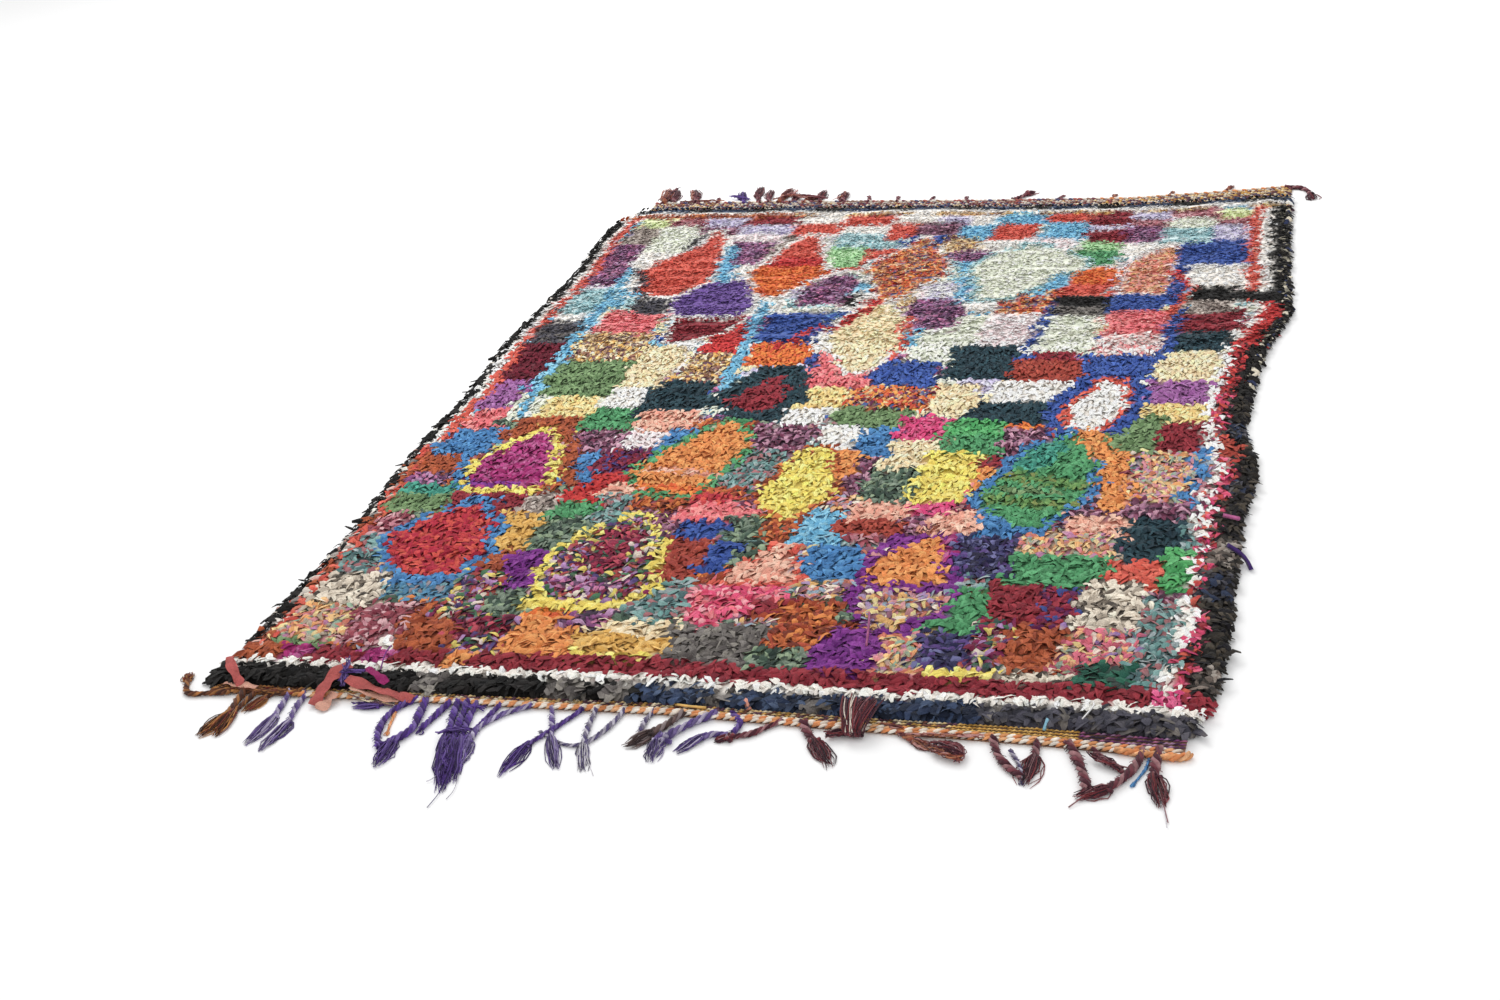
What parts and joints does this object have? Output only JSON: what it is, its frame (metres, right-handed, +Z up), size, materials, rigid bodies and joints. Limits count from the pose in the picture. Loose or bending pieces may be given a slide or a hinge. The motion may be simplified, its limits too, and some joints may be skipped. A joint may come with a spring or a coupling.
{
  "type": "boucherouite rug",
  "caption": "Oblong rag rug laid flat: shaggy patchwork pile of recycled cloth strips with lozenges and blocks, dark borders, twined end bands and knotted, tufted fringes.",
  "frame": {"origin": "on the floor under the middle of the pile, in the plane of the rug's flat underside", "axes": "+X across the rug to the right, +Y along it from the near end to the far end, +Z up out of the pile"},
  "size_m": [1.4969, 2.2942, 0.0315],
  "materials": {
    "rag_pile": "shaggy knotted strips of recycled cotton, wool and synthetic cloth in many colours",
    "near_wool": "plied wool cords in violet and marled maroon, with an orange and white twined band",
    "far_wool": "marled maroon wool ends on a speckled flat woven band"
  },
  "bodies": {
    "root": {"rug_pile": "rag_pile", "near_fringe": "near_wool", "far_fringe": "far_wool"}
  },
  "joints": []
}
